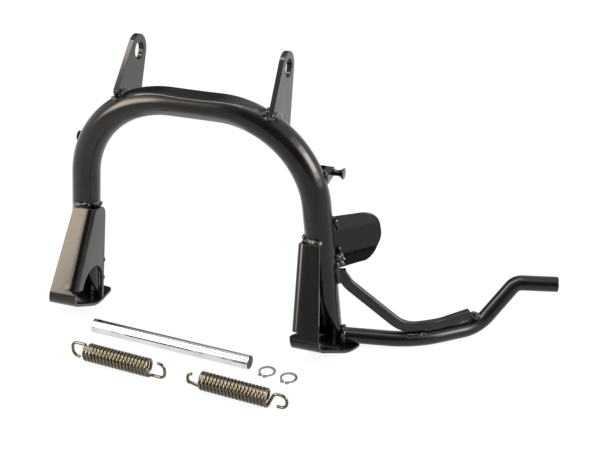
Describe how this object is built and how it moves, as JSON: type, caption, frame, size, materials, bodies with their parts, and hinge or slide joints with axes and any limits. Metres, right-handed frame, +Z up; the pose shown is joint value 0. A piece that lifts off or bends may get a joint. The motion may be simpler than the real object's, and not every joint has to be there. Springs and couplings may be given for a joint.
{
  "type": "motorcycle centre stand",
  "caption": "Centre stand for a motorcycle: bent tube arch with pivot lugs, folded sheet shoes, foot lever and step plate, with its loose pivot shaft, return springs and circlips.",
  "frame": {"origin": "on the floor, under the middle of the box round the stand and its loose pieces", "axes": "+X along the pivot line towards the foot lever, +Y to the rear, away from the loose pieces, +Z up"},
  "size_m": [0.5036, 0.2443, 0.2844],
  "materials": {
    "black_paint": "gloss black paint",
    "polished_steel": "ground and plated bright",
    "yellow_zinc": "pale yellow zinc plating",
    "dark_steel": "dark phosphated spring steel"
  },
  "bodies": {
    "root": {"arch_tube": "black_paint", "pivot_lug_left": "black_paint", "pivot_lug_right": "black_paint", "foot_shoe_left": "black_paint", "foot_shoe_right": "black_paint", "peg_bracket_left": "black_paint", "peg_bracket_right": "black_paint", "spring_peg_left": "black_paint", "spring_peg_right": "black_paint", "foot_lever": "black_paint", "lever_gusset": "black_paint", "step_plate": "black_paint", "pivot_shaft": "polished_steel", "return_spring_left": "yellow_zinc", "return_spring_right": "yellow_zinc", "circlip_left": "dark_steel", "circlip_right": "dark_steel"}
  },
  "joints": []
}
